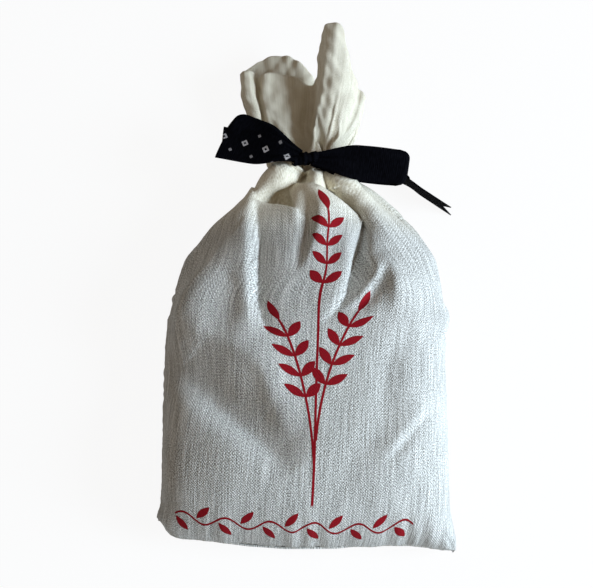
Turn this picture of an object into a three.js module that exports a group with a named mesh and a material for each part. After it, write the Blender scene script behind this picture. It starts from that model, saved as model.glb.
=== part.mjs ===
import * as THREE from "three";

// Cloth bag, filled and lying on its back. All sizes are in millimetres.
const CLOTH = 0.7;
const SEAM_GAP = 0.4;
const BAG_WIDTH = 103;
const CORNER_FLARE = 3;
const FLARE_LENGTH = 30;
const BODY_LENGTH = 140;
const REST_POINT = 58;
const SHOULDER_LENGTH = 56;
const TOP_SLOPE = 36;
const FILL_HEIGHT = 34.4;
const SEAM_HEIGHT = 13;
const BOTTOM_SEAM_HEIGHT = 7;
const BOTTOM_ROUND = 42;
const SQUARENESS = 2.5;
const FLATTENING = 1.25;

// Gathered neck, where the ribbon is tied
const NECK_WIDTH = 19;
const NECK_DEPTH = 16;
const NECK_HEIGHT = 15;
const NECK_LAND = 8;
const PLEATS = 10;
const PLEAT_SHARE = 0.17;

// Folds of the front below the tie. Each runs down through points of x, distance from the bottom seam and
// height, and reaches out to its left and to its right.
const LEFT_ROLL = { left: 3.4, right: 3.4, line: [[-3, 137, 1.5], [-8.5, 134, 3], [-14, 130, 3], [-18.5, 125.5, 2.5]] };
const LEFT_PLEAT = { left: 7, right: 3, line: [[-18.5, 125.5, 2.5], [-21, 110, 2.8], [-20.5, 88, 1.8], [-19.5, 68, 0]] };
const PLEAT_FOOT = { left: 2.6, right: 7, line: [[-16, 123, -1.5], [-16.4, 108, -1.8], [-16, 76, 0]] };
const HOLLOW = { left: 3.6, right: 4.2, line: [[-14.5, 125.6, -3], [-10, 126.4, -6], [-7, 127, -6]] };
const FLAP = { left: 2.6, right: 6.5, line: [[-4.5, 134, 1.5], [8, 127, 2.6], [18.3, 117, 2.2], [18.2, 98, 1.6], [16, 78, 0]] };
const VALLEY = { left: 3.4, right: 3.4, line: [[4, 135, -1], [15, 126.5, -4], [22, 117, -4.5], [22.6, 100, -3], [20.5, 80, 0]] };
const RIGHT_ROLL = { left: 4.5, right: 4.5, line: [[10, 136, 1], [17, 129.5, 3], [28, 117, 3], [32, 98, 1.4], [32, 86, 0]] };
const FOLDS = [LEFT_ROLL, LEFT_PLEAT, PLEAT_FOOT, HOLLOW, FLAP, VALLEY, RIGHT_ROLL];
const FOLD_ROOM = 4.5;
const FOLD_START = 66;
const FOLD_FULL = 84;

// Frill above the tie: a tall rolled finger in front on the right, and an open lobe on the left that is
// longer behind than in front
const FINGER_LENGTH = 57;
const FRONT_LOBE_LENGTH = 39;
const FRONT_NOTCH_LENGTH = 33;
const BACK_RIGHT_LENGTH = 36;
const BACK_LOBE_LENGTH = 50;
const BACK_NOTCH_LENGTH = 42;
const RIGHT_EDGE_LENGTH = 32;
const LEFT_EDGE_LENGTH = 38;
const FINGER_REACH = 22.5;
const FINGER_SPREAD = 1.35;
const LOBE_REACH = 25.5;
const LOBE_SPREAD = 1.8;
const FINGER_DEPTH = 9.5;
const FRONT_LOBE_DEPTH = 3.5;
const BACK_DEPTH = 6;
const FRILL_WAIST = 1.8;
const FRILL_HEIGHT = 12;

// Filling and sewing threads
const FILL_GAP = 0.5;
const FILL_SIDE_GAP = 2.2;
const FILL_END = 119;
const FILL_TAPER = 26;
const THREAD = 0.6;
const THREAD_GAP = 0.35;
const HEM_SHARE = 0.85;
const HEM_GAP = 0.5;

// Ribbon and its bow
const RIBBON_WIDTH = 13;
const RIBBON = 0.6;
const RIBBON_GAP = 0.5;
const WRAP_WIDTH = 6;
const WRAP_THICKNESS = 1.3;
const KNOT_LENGTH = 8;
const KNOT_WIDTH = 10.5;
const KNOT_HEIGHT = 6.5;
const PINCH_WIDTH = 4.5;
const PINCH_LENGTH = 15;
const LOOP_OPENING = 3.2;
const LEFT_LOOP_DROOP = 7;
const RIGHT_LOOP_DROOP = 4;
const LEFT_LOOP_LENGTH = 25;
const LEFT_LOOP_TURN = 21.5;
const LEFT_END_LENGTH = 26.5;
const LEFT_END_TURN = 13;
const RIGHT_LOOP_LENGTH = 32;
const RIGHT_LOOP_TURN = 3;
const RIGHT_END_RUN = 32;
const RIGHT_END_RISE = 2;
const RIGHT_END_LENGTH = 22.5;
const RIGHT_END_TURN = 36;
const SWALLOW_CUT = 4;
const FLOOR_GAP = 0.4;

// Grid of the cloth
const COLUMNS = 44;
const BODY_ROWS = 28;
const NECK_ROWS = 2;
const FRILL_ROWS = 10;

const neckStart = BODY_LENGTH - NECK_LAND / 2;
const neckEnd = BODY_LENGTH + NECK_LAND / 2;
const deg = Math.PI / 180;
const mix = THREE.MathUtils.lerp;
const clamp = THREE.MathUtils.clamp;

function power(value, exponent) {
  return Math.sign(value) * Math.pow(Math.abs(value), exponent);
}

// The filled end swells quickly out of the bottom seam
function swell(distance) {
  const t = clamp(distance / BOTTOM_ROUND, 0, 1);
  return Math.pow(1 - (1 - t) * (1 - t), 0.58);
}

// Share of the way from the neck to the full bag
function fullness(v, length, exponent) {
  const t = clamp((neckStart - v) / length, 0, 1);
  return Math.sin((Math.PI / 2) * Math.pow(t, exponent));
}

function pleatShare(v) {
  return PLEAT_SHARE * Math.pow(1 - clamp((neckStart - v) / SHOULDER_LENGTH, 0, 1), 1.5);
}

function seamHeight(v) {
  const low = Math.pow(clamp(1 - v / BOTTOM_ROUND, 0, 1), 2);
  const filled = mix(SEAM_HEIGHT, BOTTOM_SEAM_HEIGHT, low);
  return mix(NECK_HEIGHT, filled, fullness(v, SHOULDER_LENGTH, 0.92));
}

function halfWidth(v) {
  const flare = CORNER_FLARE * Math.pow(clamp(1 - v / FLARE_LENGTH, 0, 1), 2);
  return mix(NECK_WIDTH / 2, BAG_WIDTH / 2, fullness(v, SHOULDER_LENGTH, 0.92)) + flare;
}

function topHeight(v) {
  return mix(NECK_HEIGHT + NECK_DEPTH / 2, FILL_HEIGHT, fullness(v, TOP_SLOPE, 0.8));
}

function floorHeight(v) {
  return mix(NECK_HEIGHT - NECK_DEPTH / 2, SEAM_GAP / 2, fullness(v, SHOULDER_LENGTH, 0.6));
}

// Height that the folds of the front add at a place
function foldHeight(x, v) {
  let total = 0;
  for (const { left, right, line } of FOLDS) {
    let nearest = Infinity;
    let height = 0;
    for (let part = 0; part < line.length - 1; part += 1) {
      const [x0, v0, h0] = line[part];
      const [x1, v1, h1] = line[part + 1];
      const length = Math.hypot(x1 - x0, v1 - v0);
      const t = clamp(((x - x0) * (x1 - x0) + (v - v0) * (v1 - v0)) / (length * length), 0, 1);
      const offX = x - mix(x0, x1, t);
      const offV = v - mix(v0, v1, t);
      const off = Math.hypot(offX, offV);
      const reach = offV * (x1 - x0) - offX * (v1 - v0) > 0 ? right : left;
      if (off < nearest) height = mix(h0, h1, t) * Math.exp(-((off / reach) ** 2));
      nearest = Math.min(nearest, off);
    }
    total += height;
  }
  return total;
}

// Point of the filled bag: angle runs round the section from the right seam over the front
function bodyPoint(angle, v, inset, sideInset, pleats) {
  const full = fullness(v, SHOULDER_LENGTH, 0.92);
  const corner = 2 / mix(2, SQUARENESS, full);
  const wave = 1 + pleats * pleatShare(v) * Math.cos(PLEATS * angle);
  const seam = seamHeight(v);
  const across = power(Math.cos(angle), corner);
  const up = power(Math.sin(angle), corner);
  const x = (halfWidth(v) - inset - sideInset) * across * wave;
  const floor = floorHeight(v) + inset;
  let z = seam + (topHeight(v) - inset - seam) * swell(v - inset) * up * wave;
  if (up < 0) {
    const flatten = mix(1, FLATTENING, full) * swell(v - inset);
    z = seam + (seam - floor) * Math.max(-1, flatten * up) * mix(wave, 1, full);
  } else if (pleats > 0) {
    const free = THREE.MathUtils.smoothstep(up, 0.1, 0.5) * clamp((neckStart - v) / 4, 0, 1);
    z += free * foldHeight(halfWidth(v) * across * wave, v);
  }
  return new THREE.Vector3(x, v - REST_POINT, z);
}

// Point of the frill: the lines of the cloth spread from the neck into two lobes
function frillPoint(angle, share, inset) {
  const across = Math.cos(angle);
  const size = Math.abs(across);
  const right = across > 0;
  const front = Math.sin(angle) > 0;
  const bump = Math.sin(Math.PI * Math.pow(size, 1.55));
  const edge = right ? RIGHT_EDGE_LENGTH : LEFT_EDGE_LENGTH;
  const notch = front ? FRONT_NOTCH_LENGTH : BACK_NOTCH_LENGTH;
  const frontPeak = right ? FINGER_LENGTH : FRONT_LOBE_LENGTH;
  const backPeak = right ? BACK_RIGHT_LENGTH : BACK_LOBE_LENGTH;
  const plain = mix(notch, edge, size);
  const length = plain + ((front ? frontPeak : backPeak) - mix(notch, edge, 0.64)) * bump;
  const spread = Math.sin((Math.PI / 2) * Math.pow(share, 1.1));
  const wave = 1 + PLEAT_SHARE * Math.cos(PLEATS * angle);
  const reach = right ? FINGER_REACH : LOBE_REACH;
  const mouthX = (reach - inset) * power(across, right ? FINGER_SPREAD : LOBE_SPREAD);
  const frontDepth = right ? FINGER_DEPTH : FRONT_LOBE_DEPTH;
  const depth = FRILL_WAIST + (front ? frontDepth : BACK_DEPTH) * Math.pow(Math.sin(2 * angle), 2);
  const mouthZ = Math.abs(Math.sin(angle)) < 1e-6 ? 0 : Math.sign(Math.sin(angle)) * (depth - inset);
  const x = mix((NECK_WIDTH / 2 - inset) * across, mouthX, spread) * wave;
  const z = mix((NECK_DEPTH / 2 - inset) * Math.sin(angle), mouthZ, spread) * wave;
  const height = mix(NECK_HEIGHT, FRILL_HEIGHT, share);
  return new THREE.Vector3(x, neckEnd + share * length - REST_POINT, height + z);
}

// Rows of the cloth, from the bottom seam to the mouth
function clothRow(row, angle, inset) {
  if (row <= BODY_ROWS) {
    const t = 0.5 - 0.5 * Math.cos((Math.PI * row) / BODY_ROWS);
    return bodyPoint(angle, mix(inset, neckStart, t), inset, 0, 1);
  }
  if (row <= BODY_ROWS + NECK_ROWS) {
    const point = bodyPoint(angle, neckStart, inset, 0, 1);
    point.y += (NECK_LAND * (row - BODY_ROWS)) / NECK_ROWS;
    return point;
  }
  return frillPoint(angle, (row - BODY_ROWS - NECK_ROWS) / FRILL_ROWS, inset);
}

function clothGrid(startAngle, inset, shift) {
  const rows = [];
  for (let row = 0; row <= BODY_ROWS + NECK_ROWS + FRILL_ROWS; row += 1) {
    const line = [];
    for (let column = 0; column <= COLUMNS; column += 1) {
      const point = clothRow(row, startAngle + (Math.PI * column) / COLUMNS, inset);
      point.z += shift;
      line.push(point);
    }
    rows.push(line);
  }
  return rows;
}

function geometryFrom(points, triangles) {
  const geometry = new THREE.BufferGeometry().setFromPoints(points);
  geometry.setIndex(triangles);
  geometry.computeVertexNormals();
  return geometry;
}

// Closed sheet between an outer and an inner grid of points
function sheetSolid(outer, inner) {
  const rows = outer.length - 1;
  const columns = outer[0].length - 1;
  const points = [...outer.flat(), ...inner.flat()];
  const layer = (rows + 1) * (columns + 1);
  const at = (row, column, side) => side * layer + row * (columns + 1) + column;
  const triangles = [];
  for (let row = 0; row < rows; row += 1) {
    for (let column = 0; column < columns; column += 1) {
      const a = at(row, column, 0);
      const b = at(row + 1, column, 0);
      const c = at(row + 1, column + 1, 0);
      const d = at(row, column + 1, 0);
      triangles.push(a, b, d, b, c, d);
      triangles.push(a + layer, d + layer, b + layer, b + layer, d + layer, c + layer);
    }
  }
  const rim = [];
  for (let column = 0; column < columns; column += 1) rim.push(at(0, column, 0));
  for (let row = 0; row < rows; row += 1) rim.push(at(row, columns, 0));
  for (let column = columns; column > 0; column -= 1) rim.push(at(rows, column, 0));
  for (let row = rows; row > 0; row -= 1) rim.push(at(row, 0, 0));
  rim.forEach((a, index) => {
    const b = rim[(index + 1) % rim.length];
    triangles.push(a, b, a + layer, b, b + layer, a + layer);
  });
  return geometryFrom(points, triangles);
}

// Closed solid through rings of points, with the given triangles closing both ends
function ringSolid(rings, cap) {
  const count = rings[0].length;
  const triangles = [];
  for (let ring = 0; ring < rings.length - 1; ring += 1) {
    for (let side = 0; side < count; side += 1) {
      const next = (side + 1) % count;
      const a = ring * count + side;
      const b = ring * count + next;
      triangles.push(a, b, a + count, b, b + count, a + count);
    }
  }
  const last = (rings.length - 1) * count;
  cap.forEach(([a, b, c]) => {
    triangles.push(a, c, b);
    triangles.push(last + a, last + b, last + c);
  });
  return geometryFrom(rings.flat(), triangles);
}

function fanCap(count) {
  const cap = [];
  for (let side = 1; side < count - 1; side += 1) cap.push([0, side, side + 1]);
  return cap;
}

// Ribbon through stations of { centre, across, normal, width, cut }. The middle of a station can be
// set back along the run, which gives the swallow-tailed end.
function ribbonSolid(stations) {
  const rings = stations.map(({ centre, across, normal, width, cut }) => {
    const along = new THREE.Vector3().crossVectors(across, normal);
    const point = (side, up) => {
      const place = centre.clone().addScaledVector(across, (side * width) / 2);
      place.addScaledVector(normal, (up * RIBBON) / 2);
      return side === 0 ? place.addScaledVector(along, cut) : place;
    };
    return [point(-1, -1), point(0, -1), point(1, -1), point(1, 1), point(0, 1), point(-1, 1)];
  });
  return ringSolid(rings, [[0, 1, 4], [0, 4, 5], [1, 2, 3], [1, 3, 4]]);
}

// The ribbon is pinched at the knot and opens to its full width
function ribbonWidth(distance) {
  const t = THREE.MathUtils.smoothstep(distance, 0, PINCH_LENGTH);
  return mix(PINCH_WIDTH, RIBBON_WIDTH, t);
}

function piece(name, geometry, color, roughness) {
  const material = new THREE.MeshStandardMaterial({ color, roughness, metalness: 0 });
  const mesh = new THREE.Mesh(geometry, material);
  mesh.name = name;
  return mesh;
}

const group = new THREE.Group();
group.name = "lavender_sachet";
const calico = 0xc9c2b2;
const black = 0x1a1a1c;
const cotton = 0xd8d2c4;

// Front and back panels, sewn together along the sides and the bottom
const lift = SEAM_GAP / 2;
const frontPanel = sheetSolid(clothGrid(0, 0, lift), clothGrid(0, CLOTH, lift));
group.add(piece("front_panel", frontPanel, calico, 0.95));
const backPanel = sheetSolid(clothGrid(Math.PI, 0, -lift), clothGrid(Math.PI, CLOTH, -lift));
group.add(piece("back_panel", backPanel, calico, 0.95));

// Filling of dried lavender, rounded off below the shoulders
const fillRings = [];
const fillStart = CLOTH + FILL_GAP + 2 * THREAD + 2 * THREAD_GAP;
const fillRows = 16;
const fillSides = 32;
for (let row = 0; row <= fillRows; row += 1) {
  const t = 0.5 - 0.5 * Math.cos((Math.PI * (row + 0.4)) / (fillRows + 0.8));
  const v = mix(fillStart, FILL_END, t);
  const end = clamp((v - FILL_END + FILL_TAPER) / FILL_TAPER, 0, 1);
  const taper = Math.sqrt(Math.max(1 - end * end, 0)) * (1 - 1.1 * pleatShare(v));
  const middle = (seamHeight(v) + topHeight(v)) / 2;
  const ring = [];
  for (let side = 0; side < fillSides; side += 1) {
    const angle = (2 * Math.PI * side) / fillSides;
    const point = bodyPoint(angle, v, CLOTH + FILL_GAP, FILL_SIDE_GAP, 0);
    point.z -= FOLD_ROOM * THREE.MathUtils.smoothstep(v, FOLD_START, FOLD_FULL) * Math.max(Math.sin(angle), 0);
    ring.push(new THREE.Vector3(point.x * taper, point.y, mix(middle * 0.6, point.z, taper)));
  }
  fillRings.push(ring.reverse());
}
group.add(piece("lavender_filling", ringSolid(fillRings, fanCap(fillSides)), 0x6f6480, 1));

// Sewing threads
const threadShape = new THREE.Shape().absarc(0, 0, THREAD / 2, 0, 2 * Math.PI, false);
function thread(name, points) {
  const curve = new THREE.CatmullRomCurve3(points);
  const settings = { extrudePath: curve, steps: points.length * 2, curveSegments: 3 };
  group.add(piece(name, new THREE.ExtrudeGeometry(threadShape, settings), cotton, 0.9));
}
const threadInset = CLOTH + THREAD_GAP + THREAD / 2;
for (const [name, side] of [["right_seam_thread", 1], ["left_seam_thread", -1]]) {
  const points = [];
  for (let step = 0; step <= 16; step += 1) {
    const v = mix(3 * threadInset, neckStart - NECK_LAND, step / 16);
    const x = halfWidth(v) * (1 + pleatShare(v)) - threadInset;
    points.push(new THREE.Vector3(side * x, v - REST_POINT, seamHeight(v)));
  }
  thread(name, points);
}
const bottomThread = [];
for (let step = 0; step <= 8; step += 1) {
  const x = mix(-1, 1, step / 8) * (halfWidth(threadInset) - 4 * threadInset);
  bottomThread.push(new THREE.Vector3(x, threadInset - REST_POINT, seamHeight(threadInset)));
}
thread("bottom_seam_thread", bottomThread);
for (const [name, side] of [["front_hem_thread", 1], ["back_hem_thread", -1]]) {
  const points = [];
  for (let step = 1; step < COLUMNS; step += 1) {
    const angle = (side * Math.PI * step) / COLUMNS;
    const point = frillPoint(angle, HEM_SHARE, 0);
    const round = frillPoint(angle + 0.05, HEM_SHARE, 0).sub(frillPoint(angle - 0.05, HEM_SHARE, 0));
    const along = frillPoint(angle, HEM_SHARE + 0.05, 0).sub(frillPoint(angle, HEM_SHARE - 0.05, 0));
    point.addScaledVector(along.cross(round).normalize(), HEM_GAP + THREAD / 2);
    point.z += side * lift;
    points.push(point);
  }
  thread(name, points);
}

// Turn of ribbon round the neck, bunched into a narrow band
const wrapInner = [0, 0].map((_, index) => {
  const half = (index === 0 ? NECK_WIDTH : NECK_DEPTH) / 2;
  return half * (1 + PLEAT_SHARE) + lift + RIBBON_GAP;
});
const wrapBevel = WRAP_THICKNESS / 4;
const wrapShape = new THREE.Shape();
const wrapOuter = wrapInner.map((half) => half + WRAP_THICKNESS - wrapBevel);
wrapShape.absellipse(0, 0, wrapOuter[0], wrapOuter[1], 0, 2 * Math.PI, false);
const wrapHole = new THREE.Path();
wrapHole.absellipse(0, 0, wrapInner[0] + wrapBevel, wrapInner[1] + wrapBevel, 0, 2 * Math.PI, true);
wrapShape.holes.push(wrapHole);
const wrapGeometry = new THREE.ExtrudeGeometry(wrapShape, {
  depth: WRAP_WIDTH - 2 * wrapBevel,
  curveSegments: 20,
  bevelSize: wrapBevel,
  bevelThickness: wrapBevel,
  bevelSegments: 1,
});
wrapGeometry.translate(0, 0, wrapBevel - WRAP_WIDTH / 2);
wrapGeometry.rotateX(Math.PI / 2);
const tieY = BODY_LENGTH - REST_POINT;
const wrap = piece("ribbon_neck_wrap", wrapGeometry, black, 0.85);
wrap.position.set(0, tieY, NECK_HEIGHT);
group.add(wrap);

// Knot: the turn of ribbon that crosses the middle of the bow
const knotProfile = [
  [0, -0.5], [0.62, -0.5], [0.86, -0.38], [1, -0.14], [1, 0.14], [0.86, 0.38], [0.62, 0.5], [0, 0.5],
].map(([radius, height]) => new THREE.Vector2((radius * KNOT_WIDTH) / 2, height * KNOT_LENGTH));
const knotGeometry = new THREE.LatheGeometry(knotProfile, 24);
knotGeometry.scale(1, 1, KNOT_HEIGHT / KNOT_WIDTH);
const wrapTop = NECK_HEIGHT + wrapInner[1] + WRAP_THICKNESS;
const knotZ = wrapTop + RIBBON_GAP + KNOT_HEIGHT / 2;
const knot = piece("ribbon_knot", knotGeometry, black, 0.85);
knot.position.set(0, tieY, knotZ);
group.add(knot);

// Loops: out from the knot, round a fold and back underneath
function loopSolid(length) {
  const stations = [];
  const across = new THREE.Vector3(0, 1, 0);
  const add = (along, up, turn) => {
    const centre = new THREE.Vector3(along, 0, up);
    const normal = new THREE.Vector3(Math.sin(turn), 0, Math.cos(turn));
    stations.push({ centre, across, normal, width: ribbonWidth(along), cut: 0 });
  };
  const half = (LOOP_OPENING + RIBBON) / 2;
  const straight = length - half;
  const open = (along) => half * mix(0.45, 1, THREE.MathUtils.smoothstep(along, 0, PINCH_LENGTH));
  for (let step = 0; step <= 7; step += 1) add((straight * step) / 7, open((straight * step) / 7), 0);
  for (let step = 1; step < 8; step += 1) {
    const turn = (Math.PI * step) / 8;
    add(straight + half * Math.sin(turn), half * Math.cos(turn), turn);
  }
  for (let step = 7; step >= 0; step -= 1) {
    add((straight * step) / 7, -open((straight * step) / 7), Math.PI);
  }
  return ribbonSolid(stations);
}

function placed(mesh, turn, droop, z) {
  const start = KNOT_WIDTH / 2 + RIBBON_GAP;
  const heading = turn * deg;
  mesh.position.set(start * Math.cos(heading), tieY + start * Math.sin(heading), z);
  mesh.rotation.set(0, droop * deg, heading, "ZYX");
  return mesh;
}
const leftLoop = piece("ribbon_left_loop", loopSolid(LEFT_LOOP_LENGTH), black, 0.85);
group.add(placed(leftLoop, 180 - LEFT_LOOP_TURN, LEFT_LOOP_DROOP, knotZ));
const rightLoop = piece("ribbon_right_loop", loopSolid(RIGHT_LOOP_LENGTH), black, 0.85);
group.add(placed(rightLoop, -RIGHT_LOOP_TURN, RIGHT_LOOP_DROOP, knotZ));

// Left end: a flat run on top of the left loop, with a swallow-tailed cut
const leftStations = [];
for (let step = 0; step <= 8; step += 1) {
  const along = (LEFT_END_LENGTH * step) / 8;
  leftStations.push({
    centre: new THREE.Vector3(along, 0, 0),
    across: new THREE.Vector3(0, 1, 0),
    normal: new THREE.Vector3(0, 0, 1),
    width: ribbonWidth(along),
    cut: step === 8 ? -SWALLOW_CUT : 0,
  });
}
const leftEnd = piece("ribbon_left_end", ribbonSolid(leftStations), black, 0.85);
const leftEndZ = knotZ + LOOP_OPENING / 2 + 1.5 * RIBBON + 2 * RIBBON_GAP;
group.add(placed(leftEnd, 180 - LEFT_END_TURN, LEFT_LOOP_DROOP, leftEndZ));

// Right end: runs out under the right loop, sinks to the table and stands on its edge
const heading = (turn) => new THREE.Vector3(Math.cos(turn * deg), Math.sin(turn * deg), 0);
const rootZ = wrapTop + RIBBON / 2;
const edgeZ = RIBBON_WIDTH / 2 + FLOOR_GAP;
const outAlong = (distance) => heading(RIGHT_END_RISE).multiplyScalar(KNOT_WIDTH / 2 + distance);
const bend = outAlong(RIGHT_END_RUN).setZ(edgeZ);
const tailPoint = (distance) => bend.clone().addScaledVector(heading(-RIGHT_END_TURN), distance);
const rightPath = new THREE.CatmullRomCurve3([
  outAlong(0).setZ(rootZ),
  outAlong(RIGHT_END_RUN * 0.27).setZ(mix(rootZ, edgeZ, 0.08)),
  outAlong(RIGHT_END_RUN * 0.63).setZ(mix(rootZ, edgeZ, 0.5)),
  bend,
  tailPoint(RIGHT_END_LENGTH * 0.5),
  tailPoint(RIGHT_END_LENGTH),
]);
const rightStations = [];
const rightSteps = 18;
for (let step = 0; step <= rightSteps; step += 1) {
  const t = step / rightSteps;
  const along = rightPath.getTangentAt(t);
  const level = new THREE.Vector3(-along.y, along.x, 0).normalize();
  const twist = (Math.PI / 2) * THREE.MathUtils.smoothstep(t, 0.2, 0.55);
  const upright = new THREE.Vector3().crossVectors(along, level);
  const across = level.clone().multiplyScalar(Math.cos(twist)).addScaledVector(upright, Math.sin(twist));
  const normal = new THREE.Vector3().crossVectors(along, across);
  const width = ribbonWidth(t * rightPath.getLength());
  const cut = step === rightSteps ? -SWALLOW_CUT : 0;
  const centre = rightPath.getPointAt(t);
  centre.z = Math.max(centre.z, edgeZ);
  rightStations.push({ centre, across, normal, width, cut });
}
const rightEnd = piece("ribbon_right_end", ribbonSolid(rightStations), black, 0.85);
rightEnd.position.set(0, tieY, 0);
group.add(rightEnd);

export default group;
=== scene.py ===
import math

import bpy
import numpy as np
from mathutils import Matrix, Vector


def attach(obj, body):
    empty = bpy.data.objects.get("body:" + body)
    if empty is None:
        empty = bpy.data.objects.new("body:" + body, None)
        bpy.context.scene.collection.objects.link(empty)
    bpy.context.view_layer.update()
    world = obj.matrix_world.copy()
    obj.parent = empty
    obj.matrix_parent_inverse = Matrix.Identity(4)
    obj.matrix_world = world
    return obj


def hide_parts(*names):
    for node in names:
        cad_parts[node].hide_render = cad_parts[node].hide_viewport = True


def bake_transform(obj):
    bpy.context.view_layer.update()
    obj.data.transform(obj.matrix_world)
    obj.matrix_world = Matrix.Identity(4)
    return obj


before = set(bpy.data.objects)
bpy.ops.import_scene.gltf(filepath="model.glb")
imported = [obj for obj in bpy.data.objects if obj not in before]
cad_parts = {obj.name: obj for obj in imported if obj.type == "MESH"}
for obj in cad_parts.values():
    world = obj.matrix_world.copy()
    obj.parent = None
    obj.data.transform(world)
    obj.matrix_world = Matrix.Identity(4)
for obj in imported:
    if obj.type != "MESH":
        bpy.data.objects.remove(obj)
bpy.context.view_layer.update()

# Bag
# Two panels of unbleached calico, sewn together along the sides and the bottom and turned right side out.
# The filled bag lies on its back. The cloth above the filling is gathered into the neck and stands up
# beyond the tie as an open frill. The cloth is settled here in millimetres, y from the bottom seam.
MM = 0.001
ORIGIN_Y = 58.0
PANEL_WIDTH = 116.0
CLOTH = 0.55
UV_SCALE = 100
COLUMNS = 80
BELOW_TIE = 147
FRONT_SLACK = 2
FOLDS_Y = 84
TIE_Y = 140.0
NECK_Z = 15.0
NECK_HALF = (10.4, 8.8)
FILL_HALF_WIDTH = 50.5
FILL_TOP_Y = 124
FILL_Z = 13
FILL_RISE = 21
FILL_SAG = 12.6
NO_FILLING = 60

# How the cloth settles: speed kept and fall in a step, height of the table, places of the bottom corners,
# stiffness by span, and the gap between layers above the shoulders
STEPS = 90
SPEED_KEPT = 0.92
FALL = 0.012
TABLE = 0.3
RIGHT_CORNER = np.array([53.5, -0.5, 2.0])
LEFT_CORNER = np.array([-50.5, 4.5, 5.5])
STIFFNESS = ((2, 0.2), (4, 0.1), (8, 0.04))
LAYER_GAP = 0.8
LAYERS_Y = 88

# Run of the bottom seam while the cloth settles: x, and y at it
BOTTOM_SEAM = [(-52, -39, -31, -20, -7, 11, 20, 36, 46, 53),
               (4.5, 4.5, 3.4, 2.2, 1.5, 1.5, 2.1, 2.1, 1.0, -0.5)]
# Lift of the settled bottom seam: x, and how far it is drawn in there
BOTTOM_LIFT = [(-52, -49, -39, -31, -20, -7, 11, 20, 36, 46, 53),
               (5.5, 5, 5, 3.7, 2.4, 1.5, 1.5, 2.4, 2.4, 1.2, 0)]
# Folds of the front below the neck: at each y, (share of the panel's width from the right, x, z)
SHOULDER_FOLDS = [
    (94, [(0, 51.5, 13), (.08, 47.5, 22), (.17, 41, 29), (.26, 32, 32), (.33, 23, 31), (.37, 18, 31.5),
          (.41, 15, 34), (.57, 0, 35), (.72, -18, 34.5), (.86, -34, 30.5), (.93, -43, 24), (1, -49, 13)]),
    (106, [(0, 50, 13), (.08, 44.5, 21), (.16, 34, 29.5), (.23, 24.4, 30.5), (.30, 19.2, 23),
           (.345, 17.6, 29), (.40, 15.6, 33), (.57, 0, 34), (.68, -13, 33.5), (.72, -18, 34),
           (.76, -21, 32), (.86, -32, 29), (.93, -40.5, 23.5), (1, -46, 13)]),
    (119, [(0, 42.5, 13), (.05, 38.5, 15.5), (.11, 32.5, 23), (.18, 24.4, 28.5), (.30, 20.2, 15.5),
           (.36, 19.2, 22.5), (.42, 17, 29.5), (.57, 0, 33.5), (.68, -12.5, 31), (.72, -17, 30.5),
           (.76, -21, 30), (.86, -30, 24), (.93, -34, 18), (1, -33, 10)]),
    (128, [(0, 33.5, 12), (.06, 29, 14.5), (.12, 24, 20), (.17, 19, 27), (.30, 12.5, 13), (.42, 9, 26.5),
           (.50, 2, 31.5), (.57, -5, 29), (.64, -7, 20.5), (.72, -12, 26), (.76, -17, 27), (.82, -20.5, 22),
           (.88, -24, 18), (1, -22.5, 9)]),
    (134.5, [(0, 19.5, 11.5), (.06, 16.5, 15), (.12, 14, 21), (.17, 12, 26.5), (.30, 7.5, 15), (.42, 6, 26),
             (.50, 2, 27.5), (.57, -0.5, 21), (.66, -4, 28), (.72, -9, 28), (.78, -13, 24),
             (.82, -13.5, 18), (.88, -15, 15), (1, -13, 10)]),
    (138, [(0, 6, 15), (.08, 3.5, 16.8), (.17, 7.4, 20.2), (.30, 1.7, 17.5), (.42, 2.4, 23.8),
           (.5, .6, 22.6), (.57, -.6, 18), (.64, -2.6, 19.5), (.72, -5.2, 22.4), (.8, -2.4, 17),
           (.88, -8.6, 17.4), (1, -6, 15)]),
]
# Lips of the frill at its mouth, from the right seam over the front and back under it: (x, z from the neck)
FRONT_MOUTH = [(22.5, -2), (23.8, 2), (22.6, 5.5), (20.6, 5), (19.8, 7.2), (18.4, 10.2), (15.5, 13.4),
               (12, 15), (8, 13.5), (5.3, 7), (4.6, 1), (2.5, -4), (0.5, -4), (-1.5, -2), (-4, -0.6),
               (-7.5, 0.6), (-11, 1.8), (-14.8, 3), (-17.2, 2.4), (-18, -1), (-18.6, -2), (-19.6, 1),
               (-21.4, 2.6), (-23.6, 2.4), (-25.5, 0)]
BACK_MOUTH = [(-25.5, 0), (-23, -4), (-19, -6), (-12, -6.5), (-5, -6), (0, -5), (3, -6), (6, -9), (11, -10),
              (16, -9), (19, -5), (21, -7), (23, -4), (22.5, -2)]
# Length of the frill beyond the tie, at shares of each panel's width
FRONT_FRILL = [(0, 34), (.08, 34.5), (.14, 37), (.19, 40), (.215, 45), (.23, 56), (.25, 60), (.31, 61),
               (.35, 60.5), (.375, 57), (.42, 52), (.46, 46), (.50, 42), (.55, 42), (.62, 44), (.68, 45),
               (.76, 45), (.82, 43), (.86, 44), (.90, 46), (.95, 46), (1, 45)]
BACK_FRILL = [(0, 45), (.08, 49), (.16, 53.5), (.26, 57), (.36, 57), (.44, 54), (.52, 48), (.58, 42),
              (.65, 39), (.8, 36.5), (1, 34)]
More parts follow.
